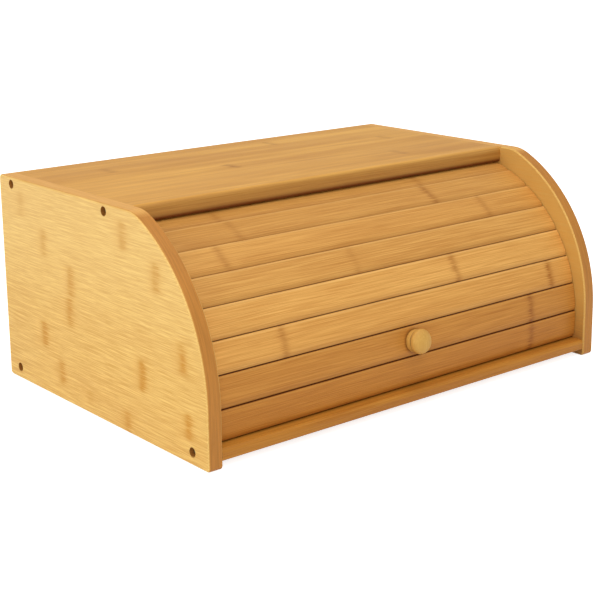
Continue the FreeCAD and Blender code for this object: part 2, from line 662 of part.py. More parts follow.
def knob():
    """A turned knob: a bulging neck, a crease and a domed front, about its own Z axis."""
    body = new_body("knob")
    foot, belly, waist, face, slope, flat = (size[key] / 2 for key in (
        "knob_foot", "knob_belly", "knob_waist", "knob_face", "dome_shoulder", "dome_flat"))
    swell, crease, lip, rim, shoulder, reach = (size[key] for key in (
        "belly_up", "knob_crease", "knob_lip", "knob_rim", "shoulder_up", "knob_reach"))
    profile = new_sketch(body, "knob_profile", role="XZ_Plane")
    base, neck, tuck, flare, edge, dome, _, button, axis = draw(profile, [
        ((0, 0), (foot, 0)),
        ((foot, 0), (belly, swell)),
        ((belly, swell), (waist, crease)),
        ((waist, crease), (face, lip)),
        ((face, lip), (face, rim)),
        ((face, rim), (slope, shoulder)),
        ((slope, shoulder), (flat, reach)),
        ((flat, reach), (0, reach)),
        ((0, reach), (0, 0)),
    ])
    level(profile, base, button)
    upright(profile, edge)
    profile.addConstraint(Sketcher.Constraint("Coincident", base, 1, -1, 1))
    profile.addConstraint(Sketcher.Constraint("PointOnObject", axis, 1, -2))
    at_point(profile, neck, 1, "Sizes.knob_foot / 2", None)
    at_point(profile, neck, 2, "Sizes.knob_belly / 2", "Sizes.belly_up")
    at_point(profile, tuck, 2, "Sizes.knob_waist / 2", "Sizes.knob_crease")
    at_point(profile, flare, 2, "Sizes.knob_face / 2", "Sizes.knob_lip")
    at_point(profile, edge, 2, None, "Sizes.knob_rim")
    at_point(profile, dome, 2, "Sizes.dome_shoulder / 2", "Sizes.shoulder_up")
    at_point(profile, button, 1, "Sizes.dome_flat / 2", "Sizes.knob_reach")
    spin(body, "knob_turning", profile)
    volume = body.Shape.Volume

    ring = new_sketch(body, "knob_ring", role="XY_Plane")
    centred_ring(ring, "knob_pilot")
    extrude(body, "Pocket", "knob_screw_hole", ring, "Sizes.knob_bore", reverse=True)
    cut_and_check(body, volume)
    place_on_track(body, "Sizes.door_radius", "Sizes.knob_angle")
    return body


# ---------------------------------------------------------------- fasteners
def spin(body, name, profile):
    feature = body.newObject("PartDesign::Revolution", name)
    feature.Profile = profile
    feature.ReferenceAxis = (profile, ["V_Axis"])
    feature.Angle = 360
    profile.Visibility = False
    doc.recompute()


def pan_screw(label, shank, length, head, height):
    """A pan-head wood screw about its own Z axis, its head's underside at the origin."""
    body = new_body(label)
    neck, rim, depth, tall = size[shank] / 2, size[head] / 2, size[length], size[height]
    profile = new_sketch(body, f"{label}_profile", role="XZ_Plane")
    end, side, under, wall, top, axis = draw(profile, [
        ((0, -depth), (neck, -depth)),
        ((neck, -depth), (neck, 0)),
        ((neck, 0), (rim, 0)),
        ((rim, 0), (rim, tall)),
        ((rim, tall), (0, tall)),
        ((0, tall), (0, -depth)),
    ])
    upright(profile, side, wall)
    level(profile, end, under, top)
    for place in (1, 2):
        profile.addConstraint(Sketcher.Constraint("PointOnObject", axis, place, -2))
    profile.addConstraint(Sketcher.Constraint("PointOnObject", under, 1, -1))
    at_point(profile, side, 1, f"Sizes.{shank} / 2", f"-Sizes.{length}")
    at_point(profile, wall, 2, f"Sizes.{head} / 2", f"Sizes.{height}")
    spin(body, f"{label}_turning", profile)
    volume = body.Shape.Volume

    for name, wide, deep in (("across", 0.3, 0.08), ("along", 0.08, 0.3)):
        slot = new_sketch(body, f"{label}_{name}", role="XY_Plane", lift=f"Sizes.{height}")
        across, along = wide * size[head], deep * size[head]
        box_in(slot, (-across, f"-{wide} * Sizes.{head}"), (across, f"{wide} * Sizes.{head}"),
               (-along, f"-{deep} * Sizes.{head}"), (along, f"{deep} * Sizes.{head}"))
        extrude(body, "Pocket", f"{label}_{name}_recess", slot, f"0.55 * Sizes.{height}")
        volume = cut_and_check(body, volume)
    return body


def case_screws(master, label, side):
    """Four copies of the case screw, driven in through one side panel."""
    turned = FreeCAD.Rotation(Vector(0, 1, 0), 90 * side)
    seat = side * (size["half_width"] - size["sink_depth"])
    copies = []
    for across, up in SCREW_PLACES:
        shape = master.Shape.copy()
        shape.Placement = FreeCAD.Placement(
            Vector(seat, size[across] + size["case_shift"], size[up]), turned)
        copies.append(shape)
    group = doc.addObject("Part::Feature", label)
    group.Label = label
    group.Shape = Part.makeCompound(copies)
    return group


# ---------------------------------------------------------------- the whole box
nodes = [side_panel("left_side_panel", -1), side_panel("right_side_panel", 1),
         top_board(), bottom_board(), back_panel()]
nodes += [slat(number) for number in range(1, int(size["slat_count"]) + 1)]
nodes += [backing_cloth(), knob()]
knob_screw = pan_screw("knob_screw", "pin_shank", "pin_length", "pin_head", "pin_height")
place_on_track(knob_screw, "(Sizes.slat_inner - Sizes.cloth_thick)", "Sizes.knob_angle", inward=True)
nodes.append(knob_screw)
case_screw = pan_screw("case_screw", "screw_shank", "screw_length", "screw_head", "head_height")
doc.recompute()
nodes += [case_screws(case_screw, "left_case_screws", -1), case_screws(case_screw, "right_case_screws", 1)]
doc.recompute()

broken = [item.Name for item in doc.Objects if {"Invalid", "Error"} & set(item.State)]
if broken:
    raise RuntimeError(f"these objects failed: {broken}")
for node in nodes:
    if node.Shape.isNull() or not node.Shape.isValid():
        raise RuntimeError(f"{node.Label} has no valid shape")

os.makedirs("parts", exist_ok=True)
for node in nodes:
    node.Shape.exportStep(f"parts/{node.Label}.step")
    box = node.Shape.BoundBox
    print(f"{node.Label:18s} {node.Shape.Volume:10.1f} mm3  solids {len(node.Shape.Solids)}  "
          f"X {box.XMin:7.1f} {box.XMax:7.1f}  Y {box.YMin:7.1f} {box.YMax:7.1f}  "
          f"Z {box.ZMin:6.1f} {box.ZMax:6.1f}")
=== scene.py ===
import math
import bpy
from mathutils import Matrix, Vector


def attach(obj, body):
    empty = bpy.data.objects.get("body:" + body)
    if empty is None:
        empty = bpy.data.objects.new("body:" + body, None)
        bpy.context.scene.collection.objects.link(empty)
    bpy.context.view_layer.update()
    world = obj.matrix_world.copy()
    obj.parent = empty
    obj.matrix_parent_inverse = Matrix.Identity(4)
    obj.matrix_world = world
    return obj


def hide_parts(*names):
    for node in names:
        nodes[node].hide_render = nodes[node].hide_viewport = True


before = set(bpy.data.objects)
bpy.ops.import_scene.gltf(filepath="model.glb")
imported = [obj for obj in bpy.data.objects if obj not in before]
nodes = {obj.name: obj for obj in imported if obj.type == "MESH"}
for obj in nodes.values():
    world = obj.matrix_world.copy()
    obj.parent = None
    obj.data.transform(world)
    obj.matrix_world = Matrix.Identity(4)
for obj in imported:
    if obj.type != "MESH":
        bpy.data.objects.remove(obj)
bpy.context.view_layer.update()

bpy.ops.object.select_all(action="DESELECT")

# the door's track: the circle that the slats' faces lie on, and the slats' places up it in degrees
doorTrack = {
    "centreY": -0.0046,
    "centreZ": 0.0325,
    "radius": 0.1248,
    "slatThick": 0.0075,
    "foot": -8.3,
    "pitch": 10.9,
    "slats": 9,
}
trackCentre = Vector((0, doorTrack["centreY"], doorTrack["centreZ"]))


def outOfTrack(angle):
    # the way out of the track's centre at an angle up from the front
    return Vector((0, -math.cos(angle), math.sin(angle)))


def slatAngle(number):
    # how far up the track the middle of a slat is
    return math.radians(doorTrack["foot"] + doorTrack["pitch"] * (number - 0.5))


cameraLook = {
    "place": (-0.6972, -0.8484, 0.3639),
    "azimuth": -39.174,     # these three in degrees
    "elevation": 13.217,
    "roll": -0.634,
    "lens": 82.57,          # these two in millimetres
    "sensor": 36,
    "shiftUp": -0.1,
}


def addCamera(look):
    turn = math.radians(look["azimuth"])
    tilt = math.radians(look["elevation"])
    roll = math.radians(look["roll"])
    back = Vector((math.sin(turn) * math.cos(tilt), -math.cos(turn) * math.cos(tilt), math.sin(tilt)))
    level = (-back).cross(Vector((0, 0, 1))).normalized()
    above = level.cross(-back)
    right = math.cos(roll) * level + math.sin(roll) * above
    up = math.cos(roll) * above - math.sin(roll) * level
    data = bpy.data.cameras.new("camera")
    data.sensor_width = look["sensor"]
    data.lens = look["lens"]
    data.shift_y = look["shiftUp"]
    camera = bpy.data.objects.new("camera", data)
    bpy.context.scene.collection.objects.link(camera)
    camera.matrix_world = Matrix.Translation(look["place"]) @ Matrix((right, up, back)).transposed().to_4x4()
    bpy.context.scene.camera = camera


lampLook = {
    # name: (place, aimed at, width, height, watts, colour)
    "windowSide": ((-1.8, 0.25, 1.1), (-0.1, 0.0, 0.08), 1.4, 1.2, 13, (1.0, 0.985, 0.955)),
    "overhead": ((0.0, -0.5, 1.8), (0.05, -0.05, 0.1), 1.3, 1.3, 12, (1.0, 0.99, 0.97)),
    "frontFill": ((-1.1, -1.6, 1.0), (0.07, -0.1, 0.08), 1.1, 0.9, 8, (1.0, 0.985, 0.955)),
}


def addLamps(looks):
    for name, (place, aim, width, height, watts, colour) in looks.items():
        data = bpy.data.lights.new(name, "AREA")
        data.shape = "RECTANGLE"
        data.size = width
        data.size_y = height
        data.energy = watts
        data.color = colour
        lamp = bpy.data.objects.new(name, data)
        bpy.context.scene.collection.objects.link(lamp)
        lamp.location = place
        lamp.rotation_euler = (Vector(aim) - Vector(place)).to_track_quat("-Z", "Y").to_euler()


addCamera(cameraLook)
addLamps(lampLook)
print("camera and lamps are set")


class Wire:
    # one output socket, so that shader maths reads as plain sums
    def __init__(self, finish, socket):
        self.finish = finish
        self.socket = socket

    def maths(self, operation, *others):
        return self.finish.node("ShaderNodeMath", {"operation": operation}, dict(enumerate((self, *others))))

    def __add__(self, other):
        return self.maths("ADD", other)

    __radd__ = __add__

    def __sub__(self, other):
        return self.maths("SUBTRACT", other)

    def __rsub__(self, other):
        return self.finish.node("ShaderNodeMath", {"operation": "SUBTRACT"}, {0: other, 1: self})

    def __mul__(self, other):
        return self.maths("MULTIPLY", other)

    __rmul__ = __mul__

    def __truediv__(self, other):
        return self.maths("DIVIDE", other)

    def __rtruediv__(self, other):
        return self.finish.node("ShaderNodeMath", {"operation": "DIVIDE"}, {0: other, 1: self})

    def __pow__(self, other):
        return self.maths("POWER", other)

    def size(self):
        # how far from zero
        return self.maths("ABSOLUTE")

    def wholePart(self):
        return self.maths("FLOOR")

    def root(self):
        return self.maths("SQRT")

    def orMore(self, other):
        return self.maths("MAXIMUM", other)

    def bell(self, halfWidth):
        # 1 at zero, falling away on both sides
        return (-1 * ((self / halfWidth) ** 2)).maths("EXPONENT")

    def clamped(self):
        return self.finish.node("ShaderNodeClamp", sockets={0: self})

    def ease(self, low, high):
        # 0 below low, 1 above high, smooth between
        return self.finish.node("ShaderNodeMapRange", {"interpolation_type": "SMOOTHSTEP"},
                                {"Value": self, "From Min": low, "From Max": high})


class Finish:
    # the nodes of one material or world; node() is the way in for every one of them
    def __init__(self, owner):
        owner.use_nodes = True
        self.owner = owner
        self.tree = owner.node_tree

    def node(self, kind, settings=None, sockets=None, output=0):
        made = self.tree.nodes.new(kind)
        for key, value in (settings or {}).items():
            setattr(made, key, value)
        for key, value in (sockets or {}).items():
            self.feed(made.inputs[key], value)
        return Wire(self, made.outputs[output]) if made.outputs else made

    def feed(self, socket, value):
        if isinstance(value, Wire):
            self.tree.links.new(value.socket, socket)
        else:
            socket.default_value = value

    def surface(self, **values):
        shader = self.tree.nodes["Principled BSDF"]
        for name, value in values.items():
            self.feed(shader.inputs[name.replace("_", " ")], value)

    def mix(self, factor, first, second):
        # a Mix node's two colours are its sockets 6 and 7, and the mixed one is its output 2
        first, second = [colour if isinstance(colour, Wire) else (*colour, 1) for colour in (first, second)]
        return self.node("ShaderNodeMix", {"data_type": "RGBA"}, {0: factor, 6: first, 7: second}, output=2)

    def place(self):
        return self.node("ShaderNodeTexCoord", output="Object")

    def facing(self):
        return self.parts(self.node("ShaderNodeTexCoord", output="Normal"))

    def parts(self, vector):
        split = self.node("ShaderNodeSeparateXYZ", sockets={0: vector}).socket.node
        return [Wire(self, part) for part in split.outputs]

    def joined(self, *parts):
        return self.node("ShaderNodeCombineXYZ", sockets=dict(enumerate(parts)))

    def noise(self, vector, scale, detail=3.0, roughness=0.55, shift=(0, 0, 0)):
        placed = self.node("ShaderNodeMapping", {"vector_type": "POINT"},
                           {"Vector": vector, "Scale": scale, "Location": shift})
        return self.node("ShaderNodeTexNoise", {"noise_dimensions": "3D"},
                         {"Vector": placed, "Scale": 1.0, "Detail": detail, "Roughness": roughness})

    def chance(self, *numbers):
        # a steady random number, 0 to 1, for each whole-number place
        return self.node("ShaderNodeTexWhiteNoise", {"noise_dimensions": "3D"},
                         {"Vector": self.joined(*numbers)})

    def bump(self, height, distance, strength):
        return self.node("ShaderNodeBump",
                         sockets={"Height": height, "Distance": distance, "Strength": strength})


bambooLook = {
    # a line or a cloud is a width and a length along the grain, in metres
    "line": (0.0007, 0.070),
    "cloud": (0.038, 0.200),
    "rimLine": (0.0011, 0.030), # across a panel's cut edge, and along it
    "fibreWidth": 0.00055,
    "stripWidth": 0.0245,
    "waviness": 0.0025,         # how far the grain wanders sideways, in metres
    "wavesPerMetre": 5,
    # each fade is where an effect begins and where it is full
    "lineFade": (0.50, 0.62),
    "glueFade": (0.47, 0.50),   # a strip's middle is 0 and its glued edge 0.5
    "endFade": (0.25, 0.80),    # how squarely a face cuts the grain
    "rimFade": (0.30, 0.72),    # how squarely a face looks along the rim's axis, and so is no cut edge
    "rimContrast": (0.34, 0.66),
    "upwardShadeFade": (0.90, 0.99),
    "innerFade": (0.5, 0.9),
    "rimClouds": 0.25,
    "cutShade": 0.78,
    "innerPaleFrom": 0.055,     # the height above which an inner face's painted shade is at its lightest
    "innerLines": 0.55,
    "roughness": 0.50,
    "roughFibres": 0.16,
    "roughClouds": 0.12,
    "coat": 0.04,
    "coatRoughness": 0.34,
    "shine": 0.22,
    "depth": 0.00014,           # of the grain's relief, in metres
    "relief": 0.8,
    "fibreRise": 0.6,
    "streakRise": 0.5,
    "lineSink": 0.35,
}

# the dark marks where the cane had its joints, each a column of short dashes
jointLook = {
    "dash": (0.0008, 0.030),    # width and length of a dash, in metres
    "dashFade": (0.36, 0.62),
    "dashes": 0.8,
    "betweenDashes": 0.45,
    "ragged": 0.012,            # how far the dashes stand out of line, in metres
    "raggedStreaks": 0.004,
    "raggedEnds": 0.006,
    "endsFade": (0.7, 1.15),    # shares of the mark's half height
    "coreWidth": 0.6,           # share of the mark's half width
    "core": 0.5,
    "halo": 0.6,
    "rise": 0.4,
}


def grainScale(grain, widthAndLength):
    # noise stretched along the grain, which is axis 0, 1 or 2
    width, length = widthAndLength
    scale = [1 / width] * 3
    scale[grain] = 1 / length
    return scale


def caneGrain(finish, place, grain, tone, shift):
    # fine fibres, broader streaks, soft clouds and a few dark lines, all along the grain
    look = bambooLook
    sway = finish.noise(place, (look["wavesPerMetre"],) * 3, detail=1.0, shift=shift)
    wander = finish.node("ShaderNodeVectorMath", {"operation": "MULTIPLY"},
                         {0: finish.joined(sway, sway, sway),
                          1: [0.0 if axis == grain else look["waviness"] for axis in range(3)]})
    swayed = finish.node("ShaderNodeVectorMath", {"operation": "ADD"}, {0: place, 1: wander})
    fibre = (look["fibreWidth"], tone["fibreLength"])
    streak = (tone["streakWidth"], tone["streakLength"])
    fibres = finish.noise(swayed, grainScale(grain, fibre), detail=3.0, roughness=0.62, shift=shift)
    streaks = finish.noise(swayed, grainScale(grain, streak), detail=4.0, roughness=0.6, shift=shift)
    clouds = finish.noise(swayed, grainScale(grain, look["cloud"]), detail=2.0, shift=shift)
    lines = finish.noise(swayed, grainScale(grain, look["line"]), detail=1.0, shift=(5, 2, 8))
    return fibres, streaks, clouds, lines.ease(*look["lineFade"])


def gluedStrips(finish, shade, up, start, tone):
    # a board is glued up from strips, each a little lighter or darker, with a dark line between
    look = bambooLook
    counted = ((up - start) / look["stripWidth"]).wholePart()
    shade = shade + (finish.chance(counted, 3.0, 7.0) - 0.5) * tone["strips"]
    edge = ((up - start) / look["stripWidth"] - counted - 0.5).size()
    return shade - edge.ease(*look["glueFade"]) * tone["glue"]


def cutEdges(finish, place, facing, grain, rim, tone, shade, clouds):
    # where the cane is cut across, and its colour there: cut edges drink more of the oil, so they are darker,
    # and on a panel's rim this darker tone is partly painted shade as well
    look = bambooLook
    if rim is None:
        cut = facing[grain].size().ease(*look["endFade"])
        edgeShade = shade.clamped()
    else:
        cut = 1 - facing[rim].size().ease(*look["rimFade"])
        edgeShade = finish.noise(place, grainScale(rim, look["rimLine"][::-1]), detail=3.0, roughness=0.6)
        edgeShade = edgeShade.ease(*look["rimContrast"]) * (1 - look["rimClouds"])
        edgeShade = (edgeShade + clouds * look["rimClouds"]).clamped()
    colour = finish.mix(edgeShade, [look["cutShade"] * part for part in tone["end"]], tone["end"])
    if rim is not None:
        # painted shade: the stretch of the rim that faces up is given a tone like the top board's, darker
        # than the outer face and paler than the cut edge
        upwardShade = finish.mix(edgeShade, tone["topDeep"], tone["topPale"])
        colour = finish.mix(facing[2].ease(*look["upwardShadeFade"]), colour, upwardShade)
    return cut * tone["cut"], colour


def caneJoints(finish, place, xyz, grain, across, marks, tone, streaks, clouds):
    # a mark is its place along the grain, its place and half height across it, and its strength
    look = jointLook
    rows = finish.noise(place, grainScale(grain, look["dash"]), detail=2.0, roughness=0.7, shift=(1, 6, 3))
    ragged = (rows - 0.5) * look["ragged"] + (streaks - 0.5) * look["raggedStreaks"]
    halfWidth = tone["markWidth"]
    smudge = None
    for along, up, halfHeight, strength in marks:
        away = ragged + (xyz[grain] - along)
        core = away.bell(halfWidth * look["coreWidth"]) * look["core"] + away.bell(halfWidth) * look["halo"]
        if across is not None:
            reach = ((xyz[across] - up + (clouds - 0.5) * look["raggedEnds"]) / halfHeight).size()
            core = core * (1 - reach.ease(*look["endsFade"]))
        smudge = core * strength if smudge is None else smudge.orMore(core * strength)
    return smudge * (look["betweenDashes"] + rows.ease(*look["dashFade"]) * look["dashes"])


def bamboo(name, grain, tone, shift=(0, 0, 0), across=None, stripStart=0.0, marks=(), paintedShade=None,
           paleAndHighlight=None, rim=None, inside=None):
    # grain is the axis that the fibres follow, across the one that the glued strips are counted on,
    # rim the one through a panel whose edges are all cut, and inside the side (1 or -1) that faces inwards
    finish = Finish(bpy.data.materials.new(name))
    look = bambooLook
    place = finish.place()
    xyz = finish.parts(place)
    facing = finish.facing()
    fibres, streaks, clouds, lines = caneGrain(finish, place, grain, tone, shift)
    shade = 0.5 + (streaks - 0.5) * tone["streaks"] + (fibres - 0.5) * tone["fibres"]
    shade = shade + (clouds - 0.5) * tone["clouds"]
    if across is not None:
        shade = gluedStrips(finish, shade, xyz[across], stripStart, tone)
    colour = finish.mix(shade.clamped(), tone["deep"], tone["pale"])
    colour = finish.mix(lines * tone["lines"], colour, tone["line"])
    if inside is not None:
        # painted shade: the inner face is darker than the outer one, most of all low down
        inner = finish.mix(xyz[2].ease(0.0, look["innerPaleFrom"]), tone["innerLow"], tone["innerHigh"])
        inner = finish.mix((1 - shade.clamped()) * look["innerLines"], inner, tone["line"])
        colour = finish.mix((facing[rim] * inside).ease(*look["innerFade"]), colour, inner)
    cut, edgeColour = cutEdges(finish, place, facing, grain, rim, tone, shade, clouds)
    colour = finish.mix(cut, colour, edgeColour)

    height = fibres * look["fibreRise"] + streaks * look["streakRise"] - lines * look["lineSink"]
    if marks:
        smudge = caneJoints(finish, place, xyz, grain, across, marks, tone, streaks, clouds)
        colour = finish.mix((smudge * tone["marks"]).clamped(), colour, tone["joint"])
        height = height + smudge * jointLook["rise"]
    # a painted highlight on rounded edges, and on a panel's outer face a paler tone higher up
    if paleAndHighlight is not None:
        colour = finish.mix(paleAndHighlight(xyz, facing), colour, tone["paleAndHighlight"])
    varnish = look["coat"]
    # painted shade: a darker colour and less varnish in the holes, the seams, under the nose and round the
    # knob
    if paintedShade is not None:
        shadedShare = paintedShade(xyz, facing)
        colour = finish.mix(shadedShare, colour, tone["paintedShade"])
        varnish = (1 - shadedShare) * varnish
    rough = look["roughness"] + (fibres - 0.5) * look["roughFibres"] + (clouds - 0.5) * look["roughClouds"]
    finish.surface(
        Base_Color=colour,
        Roughness=rough,
        Normal=finish.bump(height, look["depth"], look["relief"]),
        Coat_Weight=varnish,
        Coat_Roughness=look["coatRoughness"],
        Specular_IOR_Level=look["shine"],
    )
    return finish.owner


# colours, then sizes in metres, then how strongly each kind of grain shows
panelTone = {
    "pale": (0.90, 0.600, 0.180), "deep": (0.71, 0.390, 0.082), "line": (0.66, 0.330, 0.066),
    "joint": (0.62, 0.275, 0.022), "end": (0.58, 0.238, 0.042), "paleAndHighlight": (0.95, 0.700, 0.300),
    # innerLow and innerHigh are painted shade on an inner face, darkest low down
    "innerLow": (0.33, 0.145, 0.034), "innerHigh": (0.656, 0.372, 0.093),
    "topPale": (0.84, 0.450, 0.115), "topDeep": (0.72, 0.350, 0.078), "paintedShade": (0.13, 0.050, 0.014),
    "markWidth": 0.0070, "streakWidth": 0.0012, "streakLength": 0.060, "fibreLength": 0.026,
    "streaks": 0.12, "fibres": 4.8, "clouds": 0.6, "strips": 0.18, "glue": 0.08, "lines": 0.30,
    "marks": 1.0, "cut": 1.0,
}
boardTone = {
    "pale": (0.85, 0.462, 0.100), "deep": (0.57, 0.255, 0.042), "line": (0.50, 0.205, 0.032),
    "joint": (0.38, 0.150, 0.022), "end": (0.54, 0.230, 0.045), "paintedShade": (0.15, 0.038, 0.003),
    "markWidth": 0.0050, "streakWidth": 0.0150, "streakLength": 0.400, "fibreLength": 0.060,
    "streaks": 1.7, "fibres": 1.8, "clouds": 1.0, "strips": 0.22, "glue": 0.10, "lines": 0.30,
    "marks": 0.80, "cut": 1.0,
}
slatTone = {
    "pale": (0.79, 0.415, 0.105), "deep": (0.60, 0.268, 0.054), "line": (0.47, 0.190, 0.030),
    "joint": (0.36, 0.120, 0.014), "end": (0.50, 0.220, 0.050), "paleAndHighlight": (0.93, 0.580, 0.200),
    "paintedShade": (0.13, 0.028, 0.002),
    "markWidth": 0.0044, "streakWidth": 0.0020, "streakLength": 0.160, "fibreLength": 0.045,
    "streaks": 0.6, "fibres": 3.0, "clouds": 0.9, "lines": 0.30, "marks": 0.68, "cut": 1.0,
}


def retoned(tone, light, red):
    # makes a tone lighter or darker and redder, taking more of its blue than of its green; on the slats and
    # the base these darker, redder tones are partly painted shade
    blueLoss = 2.6
    return {key: (value[0] * light, value[1] * light * (1 - red), value[2] * light * (1 - blueLoss * red))
            if isinstance(value, tuple) else value for key, value in tone.items()}


def dress(name, material):
    node = nodes[name]
    for place in node.material_slots:
        place.material = material
    if not node.material_slots:
        node.data.materials.append(material)


panelLook = {
    "holeRadius": 0.0036,
    "holes": [(-0.0168, 0.1613), (0.1212, 0.1613), (-0.1198, 0.00975), (0.1232, 0.00975)],
    "holeShadeFade": (0.92, 1.06),       # shares of a hole's radius
    "holeShadeDark": 0.8,
    "highlightFrom": (0.60, 0.80),     # how far the rounded edge faces outwards where it carries a painted highlight
    "highlightTo": (0.88, 0.98),
    "highlight": 0.25,
    "outerFace": (0.90, 0.99),
    "paleHeights": (0.045, 0.165),  # the outer face gets paler between these heights
    "paleUpward": 0.26,
    "firstStrip": 0.0130,           # height of the first glued edge
    "middle": 0.0012,               # the right panel's marks mirror the left one's about here
    "marks": [
        # along the grain, height, half the strip's height, strength
        (0.108, 0.1468, 0.0105, 0.6), (-0.0402, 0.1478, 0.011, 1.0),
        (0.0745, 0.1227, 0.011, 0.8), (-0.0811, 0.1247, 0.0125, 1.0),
        (0.0355, 0.0992, 0.012, 1.0), (0.0385, 0.075, 0.012, 0.9), (-0.1107, 0.0739, 0.012, 0.8),
        (0.0798, 0.0484, 0.0115, 0.9), (-0.0596, 0.0498, 0.0125, 0.95),
        (0.0549, 0.0228, 0.011, 0.75), (-0.1157, 0.0272, 0.0105, 0.9),
        (-0.0379, 0.0078, 0.009, 0.7), (0.0148, 0.0124, 0.006, 0.4),
    ],
}


def holeShade(xyz, facing):
    # painted shade: the drilled holes are darker than the face
    low, high = [panelLook["holeRadius"] * share for share in panelLook["holeShadeFade"]]
    shadedHoles = None
    for y, z in panelLook["holes"]:
        away = ((xyz[1] - y) ** 2 + (xyz[2] - z) ** 2).root()
        one = 1 - away.ease(low, high)
        shadedHoles = one if shadedHoles is None else shadedHoles.orMore(one)
    return shadedHoles * panelLook["holeShadeDark"]


def panelHighlightAndPale(look, inside):
    # a painted highlight along the rounded outer edge, and the upper strips are paler than the lower ones
    def paleAndHighlight(xyz, facing):
        outwards = facing[0] * -inside
        edge = outwards.ease(*look["highlightFrom"]) * (1 - outwards.ease(*look["highlightTo"]))
        upper = outwards.ease(*look["outerFace"]) * xyz[2].ease(*look["paleHeights"])
        return edge * look["highlight"] + upper * look["paleUpward"]
    return paleAndHighlight


def dressPanels(look):
    mirrored = [(2 * look["middle"] - along, *rest) for along, *rest in look["marks"]]
    sides = (("left", look["marks"], (0, 0, 0), 1), ("right", mirrored, (3, 7, 1), -1))
    for side, marks, shift, inside in sides:
        cane = bamboo(f"bamboo {side} side", 1, panelTone, shift=shift, across=2, rim=0, inside=inside,
                      stripStart=look["firstStrip"], marks=marks, paintedShade=holeShade,
                      paleAndHighlight=panelHighlightAndPale(look, inside))
        dress(f"{side}_side_panel", cane)


dressPanels(panelLook)
print("side panels are bamboo")


boardLook = {
    "topStain": (1.03, 0.0),
    # the base is darker and redder than the top, partly its own tone and partly painted shade on its sill,
    # which faces the front
    "baseToneAndShade": (0.74, 0.19),
    "topFirstStrip": 0.005,
    # along the grain, front to back or up, half the strip's width, strength
    "topMarks": [(-0.0418, 0.0423, 0.010, 0.8), (0.1038, -0.0017, 0.012, 0.5), (-0.128, 0.092, 0.010, 0.5),
                 (0.052, 0.112, 0.010, 0.5), (0.150, 0.068, 0.010, 0.4)],
    "backMarks": [(0.11, 0.098, 0.011, 0.8), (-0.06, 0.049, 0.011, 0.8), (-0.13, 0.123, 0.011, 0.6),
                  (0.03, 0.074, 0.011, 0.7)],
    "noseBack": (-0.0358, -0.0318),     # the shade fades out between these, front to back
    "noseFoot": 0.1530,
    "noseHeight": 0.0062,
    "noseTurn": (0.3, 0.9),
    "noseUnder": 0.80,
    "noseFront": 0.44,
}


def noseShade(xyz, facing):
    # painted shade on the rounded underside and the front of the top board's nose
    look = boardLook
    front = 1 - xyz[1].ease(*look["noseBack"])
    low = 1 - ((xyz[2] - look["noseFoot"]) / look["noseHeight"]).ease(0.0, 1.0)
    turned = (-1 * facing[1]).ease(*look["noseTurn"])
    return (front * (low * look["noseUnder"] + turned * look["noseFront"])).clamped()


def dressBoards(look):
    dress("top_board", bamboo("bamboo top", 0, retoned(boardTone, *look["topStain"]), across=1,
                              stripStart=look["topFirstStrip"], marks=look["topMarks"], paintedShade=noseShade))
    dress("bottom_board", bamboo("bamboo base", 0, retoned(boardTone, *look["baseToneAndShade"]), across=1,
                                 shift=(2, 5, 4)))
    dress("back_panel", bamboo("bamboo back", 0, boardTone, across=2, shift=(8, 1, 4),
                               marks=look["backMarks"]))


dressBoards(boardLook)
print("boards are bamboo")


knobLook = {
    "slat": 2,
    "stain": (0.84, 0.09),
    "grain": {"streaks": 0.5, "fibres": 1.2, "lines": 0.15, "cut": 0.2},
    # in metres: how far out the groove behind the dome is, and how wide the shade is in it, at the foot
    # and round the foot on the slat
    "groove": 0.0054,
    "grooveShade": 0.0007,
    "footShade": 0.0014,
    "slatShade": 0.0028,
    "grooveDark": 0.85,
    "footDark": 0.7,
    "slatDark": 0.35,
    "sides": 64,
    # height and radius of each turned ring, in millimetres, from the foot to the middle of the dome
    "rings": [(0.0, 8.30), (0.35, 8.60), (1.5, 8.85), (2.9, 8.92), (4.2, 8.75), (4.9, 8.45), (5.2, 8.15),
              (5.33, 7.70), (5.48, 7.70), (5.65, 8.60), (6.0, 9.20), (6.6, 9.55), (7.5, 9.72), (8.6, 9.60),
              (9.8, 9.05), (11.0, 7.95), (12.0, 6.20), (12.7, 3.80), (12.98, 1.30)],
}
knobAngle = slatAngle(knobLook["slat"])
knobOut = outOfTrack(knobAngle)
knobRings = [(height / 1000, radius / 1000) for height, radius in knobLook["rings"]]


# for each slat, from the bottom one up: how light and how red it is, and where its joints of the cane lie;
# the lightness is partly each strip's own tone and partly painted shade, darker on the low slats that face
# down and on the high ones under the top board
slatLooks = [
    (0.78, 0.20, [(0.133, 0.8)]),
    (0.84, 0.14, [(0.133, 1.0)]),
    (1.07, 0.00, [(0.1616, 1.0), (-0.121, 0.7)]),
    (1.09, -0.03, [(0.0593, 0.8)]),
    (0.97, 0.00, [(-0.035, 0.3)]),
    (0.96, 0.02, [(0.124, 0.5), (-0.1436, 0.5)]),
    (0.89, 0.03, [(0.0797, 0.8), (-0.118, 0.4)]),
    (0.87, 0.05, [(0.083, 0.4), (-0.1225, 0.5)]),
    (0.86, 0.05, [(-0.02, 0.4)]),
]

seamLook = {
    # how dark the painted shade line is at each slat's lower edge, and over the last one
    "lines": [0.90, 0.90, 0.85, 0.62, 0.55, 0.50, 0.50, 0.18, 0.3, 0.3],
    # the rest are places up a slat, from 0 at its middle to 1 at its edge, and strengths
    "line": (0.935, 0.985),
    "shadeFade": (0.55, 1.0),
    "shade": 0.18,
    "highlightFrom": (0.78, 0.88),
    "highlightTo": (0.90, 0.94),
    "highlight": 0.30,
}


